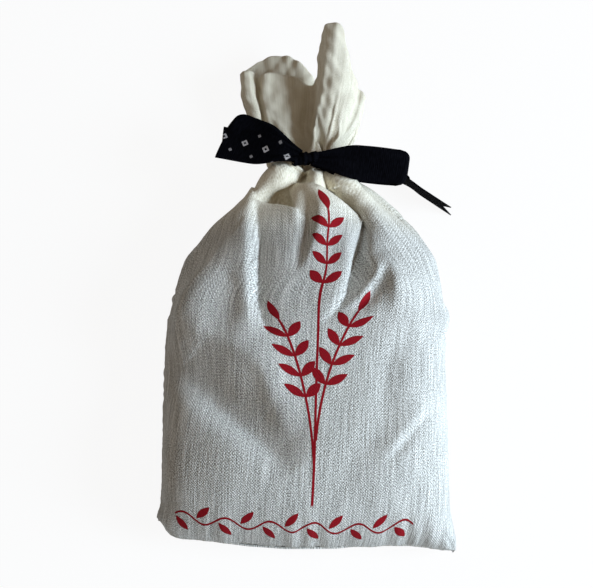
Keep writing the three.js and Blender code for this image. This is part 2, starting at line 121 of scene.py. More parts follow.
# Creases of the front: a line of (x, y, height), its width to each side, and True for a sharp one
FRONT_CREASES = [
    # Roll from the knot to the left, and the pleat that hangs from it
    ([(-3.5, 137.5, 3), (-7.8, 134.2, 4), (-12, 131, 4), (-16.5, 128, 3), (-20, 124.6, 1.8),
      (-24, 119, 0.8), (-28, 112, 0)], 3.4, 2.8),
    ([(-19.5, 123, 0.6), (-21, 117.5, 1.5), (-20.6, 107.7, 1.8), (-20.9, 97.5, 1.8), (-21, 86.4, 1.5),
      (-20.5, 79, 1.2), (-18, 70, 0)], 9, 2.0),
    ([(-17.8, 124.5, -1.4), (-17.9, 117.5, -2.6), (-17.7, 112, -5), (-17.4, 107.7, -6.4),
      (-17.6, 97.5, -6.2), (-17.4, 86.4, -5), (-15.8, 79, -3), (-12.5, 71, 0)], 0.9, 9, True),
    ([(-17, 123.2, 1), (-10, 121.2, 2), (-3.5, 118.6, 1.8)], 3.2, 1.4),
    # Flap in the middle with its two edges, the valley beside it, and the roll to the right
    ([(4, 126, .8), (5.2, 120, 2), (4.8, 114, 2.2), (3.8, 109, 1.8), (2, 103, 1.2), (-.5, 96, 0)], 1.8, 6),
    ([(.5, 124, -1.4), (1, 118, -2), (.6, 111, -1.8), (-1.2, 104, -1.4), (-4, 95, 0)], 2.6, 1.8),
    ([(-6.4, 132.5, 1.2), (2.1, 128, 2.2), (6.4, 126, 2.4), (11.7, 122.3, 2.4), (17.4, 119, 2.2),
      (18.6, 116.5, 2), (17.6, 109, 1.8), (16.2, 101, 1.6), (14.4, 94, .8), (11.5, 88, .4),
      (9, 83, 0)], 4, 1.4),
    ([(5, 129.5, -1.5), (9.5, 127, -3), (14.5, 123.5, -4), (19.6, 120.5, -4.5), (21, 116, -4.6),
      (20.2, 109.5, -6), (18.9, 101.5, -6.6), (18.1, 96.7, -6.6), (16.4, 92.6, -6.2), (15, 88.5, -5),
      (12.8, 84.5, -3.6), (10, 80.5, -1.8), (5, 75.5, 0)], 1.0, 3.6, True),
    ([(10, 136, 1), (16, 129, 3), (18.8, 124.5, 4), (21.2, 118.5, 4.4), (22, 110.5, 4.4), (23.2, 104, 4.2),
      (25.6, 98, 3), (27, 93, 1.6), (28.5, 86, 0)], 2.6, 7),
    ([(28.5, 104, 0), (30.6, 98, 1.6), (31.8, 93, 2.2), (32, 87, 1.8), (31, 79, 0)], 2.2, 6),
    ([(28.1, 101, .4), (25.2, 94.5, .9), (22, 88.5, .7), (18.5, 84, 0)], 2, 1.6),
    ([(30.4, 98, 0), (27.8, 94.8, -1.8), (25.6, 91, -2.6), (22.8, 87, -2.4), (19, 83, -1.6),
      (13, 80, 0)], 1.6, 3.4),
    # Lobes of cloth that press up under the knot
    ([(2, 138, 3.6), (4, 133.5, 2.8), (6, 129.5, 1), (7, 126, 0)], 2.4, 3.2),
    ([(-5, 138.5, 5), (-9, 137, 4.4), (-13, 133, 1.8), (-17, 129, 0)], 2.2, 2.6),
    ([(8, 138, 4), (12.5, 134, 3.4), (16, 130, 1.6), (18, 127, 0)], 2.6, 3.4),
    # Thin crease that runs from the right side to the bottom
    ([(46, 49.5, 0), (41, 43, -0.7), (32, 31.8, -0.8), (26, 25.5, 0)], 0.9, 1.8),
    ([(44, 53, 0), (38, 44, 0.7), (30, 34, 0.6), (24, 28, 0)], 3, 1.4),
    # Slack in the body
    ([(-49, 68, 0), (-46, 62.5, -2), (-39, 55.8, -4.4), (-32.4, 49.6, -5.8), (-25, 43.6, -5.8),
      (-18.3, 38.5, -4.8), (-10.6, 31.6, -2.8), (-4, 24, 0)], 5.5, 10.5),
    ([(-41, 77.5, 1), (-36.9, 75, 1.8), (-32, 73, 1.8), (-27.8, 71, 1.6), (-20.5, 66, 1.4),
      (-15.5, 62, 1.6), (-13, 57.5, 1.7), (-11.2, 50, 1.6), (-8, 43, 1.1), (-3, 36, 0)], 4, 7),
    ([(-26, 100, 0), (-26, 90, -1.1), (-26.5, 82, -1.4), (-28.5, 75, -.8), (-31, 69, 0)], 8, 4.5),
    ([(-27, 108, .6), (-30.5, 103, 1.6), (-34, 98, 2.4), (-37.5, 93.5, 3), (-40.5, 88, 3.4),
      (-42.5, 82, 3.4), (-43.4, 76, 2.4), (-43.6, 71, 1), (-43.6, 66, 0)], 3.4, 9),
    ([(-45, 52, 0), (-45.5, 41, 1.2), (-45.5, 26, 2), (-46, 15, 1.8), (-46, 6, .6)], 3.4, 8),
    ([(-30, 95.5, 0), (-27, 93.5, -.6), (-23.5, 91, 0)], 1.2, 1.2),
    ([(39.8, 79.1, 0), (35.2, 71.2, -1.2), (29.2, 63, -1.4), (27.6, 48.8, -1.3), (26.6, 38.5, -1.2),
      (21.5, 33, -1), (17.5, 28, -.8), (14.5, 18, 0)], 5, 6),
]
# Hollow under the roll to the left: its corners, depth and edge
LEFT_HOLLOW = ([(-17.8, 125.2), (-5, 121.6), (-6.5, 131)], 5, 2.2)


def ease(low, high, value):
    t = np.clip((value - low) / (high - low), 0, 1)
    return t * t * (3 - 2 * t)


def run_length(line):
    return np.concatenate([[0], np.cumsum(np.linalg.norm(np.diff(line, axis=0), axis=1))])


def along(line, share):
    line = np.array(line, float)
    run = run_length(line)
    return np.interp(share, run / run[-1], line[:, 0]), np.interp(share, run / run[-1], line[:, 1])


def fill_half(y):
    """How full the bag is near its bottom and its neck, from 0 to 1, and half the filling's width."""
    low = (1 - (1 - np.clip(y / 34, 0, 1)) ** 2.4) ** 0.55
    high = np.clip(1 - np.clip((y - 70) / 54, 0, 1) ** 2.2, 0, 1) ** 0.6
    return low, high, FILL_HALF_WIDTH * (0.985 + 0.015 * low) * (0.35 + 0.65 * high)


def fill_form(x, y):
    low, high, half = fill_half(y)
    square = np.where(x > 0, 2.8 + 1.4 * ease(10, 42, y), 2.9) + 3 * (1 - low)
    crown = np.clip(1 - (np.abs(x) / half) ** square, 0, 1)
    return low, high, crown, (crown <= 0) | (y < 0) | (y > FILL_TOP_Y)


def fill_top(x, y):
    low, high, crown, outside = fill_form(x, y)
    rise = FILL_RISE * low * high * crown ** 0.5
    return FILL_Z - 4 * (1 - low) + rise - NO_FILLING * outside


def fill_bottom(x, y):
    low, high, crown, outside = fill_form(x, y)
    sag = FILL_SAG * low * np.maximum(high, 0.3) * crown ** 0.35
    return FILL_Z - 4 * (1 - low) - sag + NO_FILLING * outside


def lifted(x, y, more=0):
    """The place of y once the bottom of the bag is drawn in."""
    return y + (np.interp(x, *BOTTOM_LIFT) + more) * (1 - ease(2, 26, y))


class BagCloth:
    """A tube of cloth: rows run up from the bottom seam, columns run round from the right seam."""

    def __init__(self):
        self.around = 2 * COLUMNS
        self.du = PANEL_WIDTH / COLUMNS
        angle = np.arange(self.around) * np.pi / COLUMNS
        below = BELOW_TIE + FRONT_SLACK * np.maximum(np.sin(angle), 0)
        share = angle / np.pi
        front, back = np.interp(share, *zip(*FRONT_FRILL)), np.interp(share - 1, *zip(*BACK_FRILL))
        above = np.where(share <= 1, front, back)
        for _ in range(3):
            above = 0.25 * np.roll(above, 1) + 0.5 * above + 0.25 * np.roll(above, -1)
        self.rows = int(round((below + above).mean() / self.du))
        self.dv = (below + above) / self.rows
        self.row = np.arange(self.rows + 1)
        self.column = np.arange(self.around)
        self.angle, row = np.meshgrid(angle, self.row)
        self.length = row * self.dv
        self.frill = above + 0 * self.length
        self.over = self.length - below
        self.front = np.sin(self.angle) > 1e-6
        self.back = np.sin(self.angle) < -1e-6
        self.lay_out(below)

    def lay_out(self, below):
        """Lays the cloth roughly in place: a pillow, gathered at the neck, with an open frill."""
        angle, over = self.angle, self.over
        turn, rise = np.cos(angle), np.sin(angle)
        y = np.clip(self.length / below, 0, 1) * TIE_Y
        full = np.sin(np.pi / 2 * np.clip((136 - y) / 56, 0, 1) ** 0.92)
        half = 9 + 43.5 * full
        top = 22 + 13.5 * np.sin(np.pi / 2 * np.clip((136 - y) / 80, 0, 1))
        seam = 15 - 2 * full - 4 * np.clip(1 - y / 40, 0, 1) ** 2
        swell = (1 - (1 - np.clip(y / 42, 0, 1)) ** 2) ** 0.58
        power = 2 / (2 + 0.5 * full)
        x = half * np.sign(turn) * np.abs(turn) ** power
        lift = np.sign(rise) * np.abs(rise) ** power
        under = seam - 7 * (1 - full) - 0.4
        bulge = np.where(rise >= 0, top - seam, under) * swell * np.maximum(lift, -1 / 1.2)
        z = seam + bulge * np.where(rise >= 0, 1, 1.2)

        # Neck pleats of the back
        pleat = 3.3 * ease(108, 137, y) * np.cos(18 * angle + 0.3)
        reach = np.sqrt(x ** 2 + (z - NECK_Z) ** 2) + 1e-6
        grow = 1 + pleat / np.maximum(reach, 6)
        x, z = x * grow, NECK_Z + (z - NECK_Z) * grow

        # Folds of the front
        share = angle / np.pi
        stations = [(FOLDS_Y, x, z)]
        for station, line in SHOULDER_FOLDS:
            share_at, x_at, z_at = np.array(line, float).T
            stations.append((station, np.interp(share, share_at, x_at), np.interp(share, share_at, z_at)))
        front_x, front_z = x.copy(), z.copy()
        for (y0, x0, z0), (y1, x1, z1) in zip(stations[:-1], stations[1:]):
            here = (y >= y0) & (y <= y1)
            t = (y - y0) / (y1 - y0)
            front_x = np.where(here, x0 * (1 - t) + x1 * t, front_x)
            front_z = np.where(here, z0 * (1 - t) + z1 * t, front_z)
        front_x = np.where(y > stations[-1][0], stations[-1][1], front_x)
        front_z = np.where(y > stations[-1][0], stations[-1][2], front_z)
        folded = (share <= 1) & (y > FOLDS_Y)
        x, z = np.where(folded, front_x, x), np.where(folded, front_z, z)

        # Frill, from the neck out to its lips
        q = np.clip(over / self.frill, 0, 1)
        flare = np.sin(np.pi / 2 * q) ** 0.9
        front_lip = along(FRONT_MOUTH, np.clip(share, 0, 1))
        back_lip = along(BACK_MOUTH, np.clip(share - 1, 0, 1))
        lip_x, lip_z = (np.where(share <= 1, a, b) for a, b in zip(front_lip, back_lip))
        x = np.where(over > 0, x * (1 - flare) + lip_x * flare, x)
        z = np.where(over > 0, z * (1 - flare) + (NECK_Z + lip_z) * flare - 2.5 * q, z)
        y = np.where(over > 0, TIE_Y + 0.95 * over, y)
        points = np.stack([x, y, np.maximum(z, TABLE)], -1)

        gathered = (ease(78, 92, y) * (1 - 0.7 * ease(143, 150, y)))[..., None]
        for _ in range(4):
            soft = points.copy()
            soft[1:-1] = 0.25 * points[:-2] + 0.5 * points[1:-1] + 0.25 * points[2:]
            soft = 0.15 * np.roll(soft, 1, 1) + 0.7 * soft + 0.15 * np.roll(soft, -1, 1)
            points = points + gathered * (soft - points)
        self.points = points
        self.before = points.copy()
        self.plan = points.copy()
        planned = np.maximum(ease(80, 96, y) * (1 - ease(136, 142, y)) * (rise > -0.3), ease(144, 152, y))
        self.planned = planned[..., None]
        shoulder = ease(86, 98, y) * (1 - ease(130, 136, y)) * (rise > -0.02)
        self.hold = 0.4 * (shoulder + 0.3 * ease(146, 170, y))[..., None]

    def tighten(self, a, b, flat, strength):
        """Moves the points at a and b towards their rest length, the plan's own where that is kept."""
        points, planned = self.points, self.planned[a]
        kept = np.linalg.norm(self.plan[a] - self.plan[b], axis=-1, keepdims=True)
        rest = flat * (1 - planned) + planned * kept
        gap = points[b] - points[a]
        size = np.sqrt((gap * gap).sum(-1, keepdims=True)) + 1e-9
        move = gap * ((size - rest) / size * (0.5 * strength))
        points[a] += move
        points[b] -= move

    def across(self, span, strength):
        flat = span * self.du * (1 - 0.075 * np.exp(-self.row * self.du / 5))[:, None, None]
        for odd in range(2):
            a = self.column[(self.column // span) % 2 == odd]
            self.tighten(np.s_[:, a], np.s_[:, (a + span) % self.around], flat, strength)

    def up(self, span, strength):
        for odd in range(2):
            a = self.row[((self.row // span) % 2 == odd) & (self.row + span <= self.rows)]
            self.tighten(a, a + span, span * self.dv[:, None], strength)

    def bias(self, strength):
        for odd in range(2):
            a = self.row[(self.row % 2 == odd) & (self.row < self.rows)][:, None]
            for side in (1, -1):
                beside = (self.column + side) % self.around
                flat = np.hypot(self.du, self.dv)[:, None]
                self.tighten(np.s_[a, self.column], np.s_[a + 1, beside], flat, strength)

    def keep_off_filling(self):
        points = self.points
        for part, form, sign in ((self.front, fill_top, 1), (self.back, fill_bottom, -1)):
            level = form(points[..., 0], points[..., 1])
            filled = np.abs(level) < NO_FILLING - 10
            inside = part & (sign * (level - points[..., 2]) > 0) & filled
            x, y, z = points[inside].T
            slope_x = np.clip((form(x + 0.4, y) - form(x - 0.4, y)) / 0.8, -3, 3)
            slope_y = np.clip((form(x, y + 0.4) - form(x, y - 0.4)) / 0.8, -3, 3)
            step = np.clip((level[inside] - z) / (1 + slope_x ** 2 + slope_y ** 2), -0.8, 0.8)
            points[inside] += np.stack([-slope_x * step, -slope_y * step, step], -1)

    def keep_layers_apart(self, gap, start):
        """Pushes apart layers of cloth that come closer than the gap, from start along the cloth."""
        first = int(start / self.dv.mean())
        points = self.points[first:].reshape(-1, 3)
        row, column = (grid.ravel() for grid in np.meshgrid(self.row[first:], self.column, indexing="ij"))
        cell = np.floor((points - points.min(0)) / gap).astype(np.int64) + 1
        size = cell.max(0) + 2
        key = (cell[:, 0] * size[1] + cell[:, 1]) * size[2] + cell[:, 2]
        order = np.argsort(key, kind="stable")
        key = key[order]
        own = np.arange(len(key))
        moved, hits = np.zeros_like(points), np.zeros(len(points))
        steps = (-1, 0, 1)
        offsets = {(a * size[1] + b) * size[2] + c for a in steps for b in steps for c in steps}
        for offset in sorted(offset for offset in offsets if offset >= 0):
            low = own + 1 if offset == 0 else np.searchsorted(key, key + offset, "left")
            high = np.searchsorted(key, key + offset, "right")
            for extra in range(max(int((high - low).max()), 0)):
                some = np.nonzero(low + extra < high)[0]
                a, b = order[some], order[low[some] + extra]
                round_gap = np.abs(column[a] - column[b])
                round_gap = np.minimum(round_gap, self.around - round_gap)
                apart = (np.abs(row[a] - row[b]) > 2) | (round_gap > 2)
                a, b = a[apart], b[apart]
                line = points[b] - points[a]
                size_of = np.sqrt((line * line).sum(-1)) + 1e-9
                close = size_of < gap
                a, b = a[close], b[close]
                push = line[close] * ((gap - size_of[close]) / size_of[close] * 0.5)[:, None]
                for axis in range(3):
                    moved[:, axis] += np.bincount(b, push[:, axis], len(points))
                    moved[:, axis] -= np.bincount(a, push[:, axis], len(points))
                hits += np.bincount(a, minlength=len(points)) + np.bincount(b, minlength=len(points))
        settled = points + moved / np.maximum(hits, 1)[:, None]
        self.points[first:] = settled.reshape(self.points[first:].shape)

    def settle(self, steps):
        mirror = (-self.column) % self.around
        tied = np.abs(self.over) < 2.6
        close = np.abs(self.over) < 12
        for step in range(steps):
            speed = (self.points - self.before) * SPEED_KEPT
            self.before = self.points.copy()
            self.points = self.points + speed
            points = self.points
            points[..., 2] -= FALL
            points += self.hold * (self.plan - points)
            for _ in range(3):
                self.across(1, 1.0)
                self.up(1, 1.0)
                self.bias(0.35)
                for span, strength in STIFFNESS:
                    self.across(span, strength)
                    self.up(span, strength)
                points[0] = 0.5 * (points[0] + points[0][mirror])
                points[0, :, 1] += 0.15 * (np.interp(points[0, :, 0], *BOTTOM_SEAM) - points[0, :, 1])
                points[0, 0] += 0.3 * (RIGHT_CORNER - points[0, 0])
                points[0, COLUMNS] += 0.3 * (LEFT_CORNER - points[0, COLUMNS])
                self.keep_off_filling()
                above_neck = points[..., 2] - NECK_Z
                reach = np.hypot(points[..., 0] / NECK_HALF[0], above_neck / NECK_HALF[1]) + 1e-6
                wide = close & (np.abs(points[..., 1] - TIE_Y) < 2.2) & (reach > 1)
                shrink = np.where(wide, 1 / reach, 1)
                points[..., 0] *= shrink
                points[..., 2] = NECK_Z + above_neck * shrink
                points[..., 1] += np.where(tied, 0.3 * (TIE_Y + 0.9 * self.over - points[..., 1]), 0)
                low = (points[..., 2] < TABLE)[..., None]
                points[..., 2] = np.maximum(points[..., 2], TABLE)
                slowed = 0.5 * (points[..., :2] + self.before[..., :2])
                points[..., :2] = np.where(low, slowed, points[..., :2])
            if step % 6 == 5:
                self.keep_layers_apart(LAYER_GAP * self.du, LAYERS_Y)

    def refine(self):
        """Halves the mesh size along smooth curves through the settled points."""
        ring = self.points
        middle = (9 * (ring + np.roll(ring, -1, 1)) - np.roll(ring, 1, 1) - np.roll(ring, -2, 1)) / 16
        ring = np.stack([ring, middle], 2).reshape(self.rows + 1, 2 * self.around, 3)
        ends = np.concatenate([2 * ring[:1] - ring[1:2], ring, 2 * ring[-1:] - ring[-2:-1]])
        middle = (9 * (ends[1:-2] + ends[2:-1]) - ends[:-3] - ends[3:]) / 16
        fine = np.empty((2 * self.rows + 1, 2 * self.around, 3))
        fine[::2], fine[1::2] = ring, middle
        self.points = fine
        step = np.stack([self.dv, 0.5 * (self.dv + np.roll(self.dv, -1))], -1).ravel() / 2
        self.rows, self.around = 2 * self.rows, 2 * self.around
        self.dv = step
        angle, row = np.meshgrid(np.arange(self.around) * 2 * np.pi / self.around, np.arange(self.rows + 1))
        self.angle, self.length = angle, row * step

    def calm(self, share, rounds):
        """Takes the small ripples out of the cloth where share is above 0."""
        for _ in range(rounds):
            points = self.points
            soft = 0.5 * points + 0.25 * (np.roll(points, 1, 1) + np.roll(points, -1, 1))
            soft[1:-1] = 0.5 * soft[1:-1] + 0.25 * (soft[:-2] + soft[2:])
            self.points = points + share[..., None] * (soft - points)

    def normals(self):
        points = self.points
        side = np.roll(points, 1, 1) - np.roll(points, -1, 1)
        out = np.cross(side, np.gradient(points, axis=0))
        return out / (np.linalg.norm(out, axis=-1, keepdims=True) + 1e-9)

    def crease(self, line, left, right, sharp=False):
        """Raises or sinks the front along a line of (x, y, height), with a width to each side of it."""
        x, y = self.points[..., 0], self.points[..., 1]
        nearest, height = np.full(x.shape, 1e9), np.zeros(x.shape)
        for (x0, y0, h0), (x1, y1, h1) in zip(line[:-1], line[1:]):
            run = np.array([x1 - x0, y1 - y0])
            size = np.linalg.norm(run)
            run = run / size
            t = np.clip((x - x0) * run[0] + (y - y0) * run[1], 0, size)
            off_x, off_y = x - x0 - t * run[0], y - y0 - t * run[1]
            off = np.hypot(off_x, off_y)
            width = np.where(off_y * run[0] - off_x * run[1] > 0, right, left)
            fall = np.exp(-off / width) if sharp else np.exp(-((off / width) ** 2))
            rise = (h0 + (h1 - h0) * t / size) * fall
            height = np.where(off < nearest, rise, height)
            nearest = np.minimum(nearest, off)
        self.relief += height

    def hollow(self, corners, depth, edge):
        """Sinks the front inside a triangle of (x, y) corners."""
        x, y = self.points[..., 0], self.points[..., 1]
        inside = np.full(x.shape, 1e9)
        for (x0, y0), (x1, y1) in zip(corners, corners[1:] + corners[:1]):
            size = math.hypot(x1 - x0, y1 - y0)
            inside = np.minimum(inside, ((x1 - x0) * (y - y0) - (y1 - y0) * (x - x0)) / size)
        self.relief -= depth * ease(-edge / 2, edge, inside)

    def round_corner(self, middle, side):
        """Turns the square corner beyond a middle point into a quarter of a circle."""
        x, y = self.points[..., 0], self.points[..., 1]
        off_x, off_y = side * (x - middle[0]), middle[1] - y
        corner = (off_x > 0) & (off_y > 0)
        share = np.maximum(off_x, off_y) / (np.hypot(off_x, off_y) + 1e-9)
        self.points[..., 0] = np.where(corner, middle[0] + side * off_x * share, x)
        self.points[..., 1] = np.where(corner, middle[1] - off_y * share, y)

    def lift_bottom(self):
        """Draws the bottom seam in to its slightly wavy run."""
        self.points[..., 1] = lifted(self.points[..., 0], self.points[..., 1])

    def rumple_frill(self):
        """Gives the frill the uneven surface of cloth that was gathered by hand."""
        height = 0.42
        turn, over = self.angle, self.points[..., 1] - TIE_Y
        waves = np.sin(13 * turn + 1.6 * np.sin(0.21 * over)) * np.sin(0.36 * over + 1.3 * np.sin(5 * turn))
        waves += 0.6 * np.sin(25 * turn - 0.4 * over) * np.sin(0.62 * over + 2 * np.sin(3 * turn))
        self.points = self.points + (height * waves * ease(5, 18, over))[..., None] * self.normals()

    def work_creases(self):
        """Works the folds and the slack of the filled bag into its front."""
        x, y = self.points[..., 0], self.points[..., 1]
        self.relief = np.zeros(x.shape)
        for row in FRONT_CREASES:
            self.crease(*row)
        self.hollow(*LEFT_HOLLOW)
        self.relief += 0.3 * np.sin(0.17 * x + 0.09 * y + 1) * np.sin(0.13 * y - 0.06 * x)
        self.relief += 0.22 * np.sin(0.7 * x + 2.6 * np.sin(0.17 * x)) * np.exp(-((y - 2) / 7) ** 2)
        keep = ease(0.02, 0.25, np.sin(self.angle)) * (1 - ease(136, 139, y)) * (self.length < 150)
        self.points = self.points + (self.relief * keep)[..., None] * self.normals()


bag = BagCloth()
bag.settle(STEPS)
bag.refine()
up = bag.points[..., 1]
shoulders = ease(60, 72, up) * (1 - ease(119, 128, up)) * ease(0.15, 0.5, np.sin(bag.angle))
bag.calm(shoulders, 40)
bag.work_creases()
bag.rumple_frill()
bag.round_corner((-43.0, 16.5), -1)
bag.round_corner((47.6, 5.0), 1)
bag.lift_bottom()
from_left_corner = np.hypot(bag.points[..., 0] + 52, bag.points[..., 1] - 6)
bag.calm(1 - ease(9, 22, from_left_corner), 22)


def mesh_object(name, points, faces, cloth_uv=None):
    """A smooth mesh of points in metres. cloth_uv is each point's place on the flat cloth."""
    mesh = bpy.data.meshes.new(name)
    mesh.from_pydata(points.tolist(), [], faces)
    if cloth_uv is not None:
        layer = mesh.uv_layers.new(name="cloth")
        corner = np.empty(len(mesh.loops), dtype=np.int32)
        mesh.loops.foreach_get("vertex_index", corner)
        layer.data.foreach_set("uv", cloth_uv[corner].ravel().astype(np.float32))
    mesh.polygons.foreach_set("use_smooth", np.ones(len(mesh.polygons), dtype=bool))
    mesh.update()
    made = bpy.data.objects.new(name, mesh)
    bpy.context.collection.objects.link(made)
    return made


def sheet_object(name, points, cloth_uv):
    """A grid of points as one sheet of quads."""
    number = np.arange(points.shape[0] * points.shape[1]).reshape(points.shape[:2])
    quads = np.stack([number[:-1, :-1], number[1:, :-1], number[1:, 1:], number[:-1, 1:]], -1)
    return mesh_object(name, points.reshape(-1, 3), quads.reshape(-1, 4).tolist(), cloth_uv.reshape(-1, 2))


def thicken(piece, thickness, offset):
    """Gives a sheet its thickness in millimetres."""
    thick = piece.modifiers.new("thickness", "SOLIDIFY")
    thick.thickness = thickness * MM
    thick.offset = offset
    return thick


class Socket:
    """A shader socket that works in Python expressions."""

    def __init__(self, tree, socket=None):
        self.tree = tree
        self.socket = socket

    def node(self, kind, settings=None, sockets=None, output=0):
        made = self.tree.nodes.new(kind)
        for name, value in (settings or {}).items():
            setattr(made, name, value)
        for name, value in (sockets or {}).items():
            if isinstance(value, Socket):
                self.tree.links.new(value.socket, made.inputs[name])
            else:
                made.inputs[name].default_value = value
        return Socket(self.tree, made.outputs[output])

    def math(self, operation, *values):
        return self.node("ShaderNodeMath", {"operation": operation}, dict(enumerate(values)))

    def __add__(self, other):
        return self.math("ADD", self, other)

    def __radd__(self, other):
        return self.math("ADD", other, self)

    def __sub__(self, other):
        return self.math("SUBTRACT", self, other)

    def __rsub__(self, other):
        return self.math("SUBTRACT", other, self)

    def __mul__(self, other):
        return self.math("MULTIPLY", self, other)

    def __rmul__(self, other):
        return self.math("MULTIPLY", other, self)

    def __truediv__(self, other):
        return self.math("DIVIDE", self, other)

    def __abs__(self):
        return self.math("ABSOLUTE", self)

    def sin(self):
        return self.math("SINE", self)

    def fraction(self):
        return self.math("FRACT", self)

    def most(self, other):
        return self.math("MAXIMUM", self, other)

    def between(self, low, high):
        sockets = {"Value": self, "From Min": low, "From Max": high}
        return self.node("ShaderNodeMapRange", {"interpolation_type": "SMOOTHSTEP"}, sockets)

    def mix(self, a, b):
        made = self.node("ShaderNodeMix", {"data_type": "RGBA"}, {"Factor": self})
        mixer = made.socket.node
        for slot, value in ((6, a), (7, b)):
            if isinstance(value, Socket):
                self.tree.links.new(value.socket, mixer.inputs[slot])
            else:
                mixer.inputs[slot].default_value = value
        return Socket(self.tree, mixer.outputs[2])

    def noise(self, place, scale=1.0, detail=1.0, roughness=0.5):
        sockets = {"Vector": place, "Scale": scale, "Detail": detail, "Roughness": roughness}
        return self.node("ShaderNodeTexNoise", {"noise_dimensions": "3D"}, sockets)

    def point(self, x, y, z=0.0):
        return self.node("ShaderNodeCombineXYZ", None, {"X": x, "Y": y, "Z": z})


def colour(hexadecimal):
    channels = [int(hexadecimal[at:at + 2], 16) / 255 for at in (1, 3, 5)]
    linear = [c / 12.92 if c <= 0.04045 else ((c + 0.055) / 1.055) ** 2.4 for c in channels]
    return (*linear, 1.0)


def new_material(name):
    material = bpy.data.materials.new(name)
    material.use_nodes = True
    tree = material.node_tree
    return material, tree.nodes["Principled BSDF"], Socket(tree)


def link(value, shader, name):
    shader.id_data.links.new(value.socket, shader.inputs[name])


def add_bump(s, shader, strength, distance, height):
    sockets = {"Strength": strength, "Distance": distance, "Height": height}
    link(s.node("ShaderNodeBump", None, sockets), shader, "Normal")


def cloth_place(s):
    """The place on the flat cloth in millimetres, across it and along it."""
    place = s.node("ShaderNodeUVMap", {"uv_map": "cloth"})
    across = s.node("ShaderNodeSeparateXYZ", None, {"Vector": place})
    length = Socket(s.tree, across.socket.node.outputs[1])
    return across * UV_SCALE, length * UV_SCALE


# Printed sprigs: start and bend of the stem, start of the leaves, length of a leaf, and pairs of leaves
SPRIGS = [
    (20, (0.0, 1.0, -2.5), 96, 8.6, 4),
    (32, (0.2, -3.0, -10.5), 56, 8.2, 4),
    (42, (0.4, 2.8, 10.0), 61, 8.2, 4),
]
SPRIG_X = -2.5
VINE_Y = 12
VINE_LEAF_STEP = 7.48


def twig(x, v, start, bend, leaf_start, leaf_length, pairs):
    """A thin stem with pairs of almond leaves and a leaf at its tip, 1 where it is printed."""
    pitch = leaf_length * 0.86
    end = leaf_start + pairs * pitch
    share = (v - start) / (end - start)
    away = abs(x - (bend[0] + share * (bend[1] + bend[2] * share)))
    stem = away.between(0.5, 0.38) * share.between(0.0, 0.01) * share.between(1.005, 0.995)
    cell = (v - leaf_start) / pitch
    rise = cell.fraction() * pitch
    along_leaf = (away * 0.77 + rise * 0.64) / leaf_length
    over_leaf = abs(away * 0.64 - rise * 0.77)
    leaf = (along_leaf * (1 - along_leaf) * (leaf_length * 0.75) - over_leaf).between(0.0, 0.12)
    leaf = leaf * cell.between(0.0, 0.01) * cell.between(pairs, pairs - 0.01)
    tip = (v - end + 0.5) / leaf_length
    bud = (tip * (1 - tip) * (leaf_length * 0.75) - away).between(0.0, 0.12)
    return stem.most(leaf).most(bud)


def vine(u, v):
    """A waving stem with leaves above and below it by turns, 1 where it is printed."""
    run = 0 - u
    stem = abs(v - VINE_Y - 2.2 * (run * 0.42).sin()).between(0.55, 0.4)
    step = (run / VINE_LEAF_STEP).fraction() * VINE_LEAF_STEP - 1.2
    side = (run / (2 * VINE_LEAF_STEP)).fraction().between(0.49, 0.51) * 2 - 1
    lift = (v - VINE_Y) * side
    along_leaf = (step * 0.6 + lift * 0.8) / 7.5
    over_leaf = abs(step * 0.8 - lift * 0.6)
    leaf = (along_leaf * (1 - along_leaf) * 5.6 - over_leaf).between(0.0, 0.12)
    return stem.most(leaf) * abs(u - 3.3).between(40.9, 40.7)


def calico(name, printed):
    """Unbleached cotton in plain weave with slubs and flecks. It is paler and warmer in the frill: partly
    the cloth, partly painted warm bounce light from its folds and painted light shining through its single
    layer.
    """
    material, shader, s = new_material(name)
    u, v = cloth_place(s)
    warp = s.noise(s.point(u * 2.2 + v * 0.06, v * 0.07, 3.0))
    grain = s.noise(s.point(u * 2.7, v * 2.1, 5.0), roughness=0.6)
    fleck = s.noise(s.point(u * 2.4, v * 1.4, 17.0))
    slub = s.noise(s.point(u * 1.1, v * 0.05, 7.0), roughness=0.6)
    band = s.noise(s.point(u * 0.38, v * 0.035, 11.0))
    weave = (u * 6.4 + 4 * slub).sin() * (v * 6.0 + 5 * band).sin()
    tone = 0.2 * warp.between(0.36, 0.64) + 0.44 * grain.between(0.43, 0.56) + 0.12 * (1 + weave)
    tone = tone + 0.1 * slub.between(0.33, 0.67) + 0.04 * band.between(0.25, 0.75)
    frill = v.between(114, 140)
    gathers = v.between(122, 132) * v.between(158, 148)
    # Frill tint, paler and warmer than the body: partly the cloth, partly painted light (warm bounce light
    # from its folds and light shining through the single layer).
    deep = frill.mix(colour("#4f4a3f"), colour("#bfb296"))
    pale = frill.mix(colour("#fffdf8"), colour("#fbf4e4"))
    base = (tone + gathers * (0.65 - tone) * 0.35).mix(deep, pale)
    dark = fleck.between(0.64, 0.70) * (1 - 0.9 * frill)
    base = (0.6 * dark).mix(base, colour("#59544e"))
    height = (0.3 * weave + 0.8 * slub + 1.1 * grain) * (1 - 0.55 * gathers)
    if printed:
        ink = vine(u, v)
        for sprig in SPRIGS:
            ink = ink.most(twig(SPRIG_X - u, v, *sprig))
        worn = ink * (0.98 + 0.02 * tone)
        red = grain.between(0.3, 0.7).mix(colour("#7c0210"), colour("#960518"))
        base = worn.mix(base, red)
        height = height * (1 - 0.75 * ink) + 1.2 * ink
        link(0.92 - 0.12 * ink, shader, "Roughness")
    else:
        link(0.88 + 0.08 * tone, shader, "Roughness")
    link(base, shader, "Base Color")
    add_bump(s, shader, 0.8, 0.00034, height)
    shader.inputs["Specular IOR Level"].default_value = 0.1
    return material


